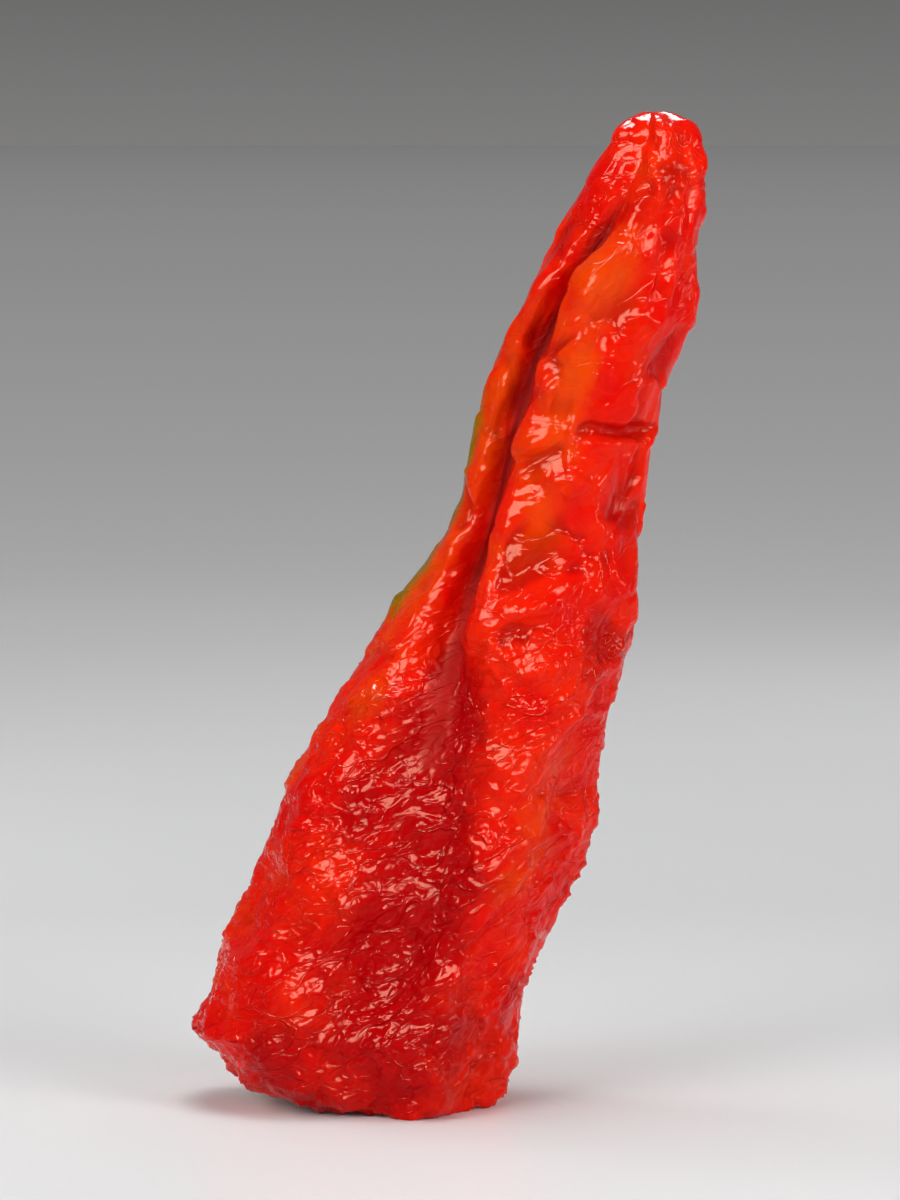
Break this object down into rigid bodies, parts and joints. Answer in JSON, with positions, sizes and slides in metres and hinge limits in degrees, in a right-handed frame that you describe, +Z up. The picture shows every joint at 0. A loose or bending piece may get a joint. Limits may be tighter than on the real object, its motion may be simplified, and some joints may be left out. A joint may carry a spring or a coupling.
{
  "type": "chilli pepper",
  "caption": "Ripe red chilli pepper, shrivelled and crinkled, with a deep furrow down its front, standing upright on its broad shoulder over a small calyx and bent stalk.",
  "frame": {"origin": "middle of the underside of the box that the whole pepper fills, on the ground it stands on", "axes": "+Z up, the pepper leans towards +X, its deep furrow faces -Y"},
  "size_m": [0.0832, 0.0482, 0.16],
  "materials": {
    "fruit_skin": "waxy glossy red skin with orange parts",
    "calyx_leaf": "dry dull green",
    "stem_bark": "dry fibrous green, pale brown at the cut"
  },
  "bodies": {
    "root": {"fruit": "fruit_skin", "calyx": "calyx_leaf", "stem": "stem_bark"}
  },
  "joints": []
}
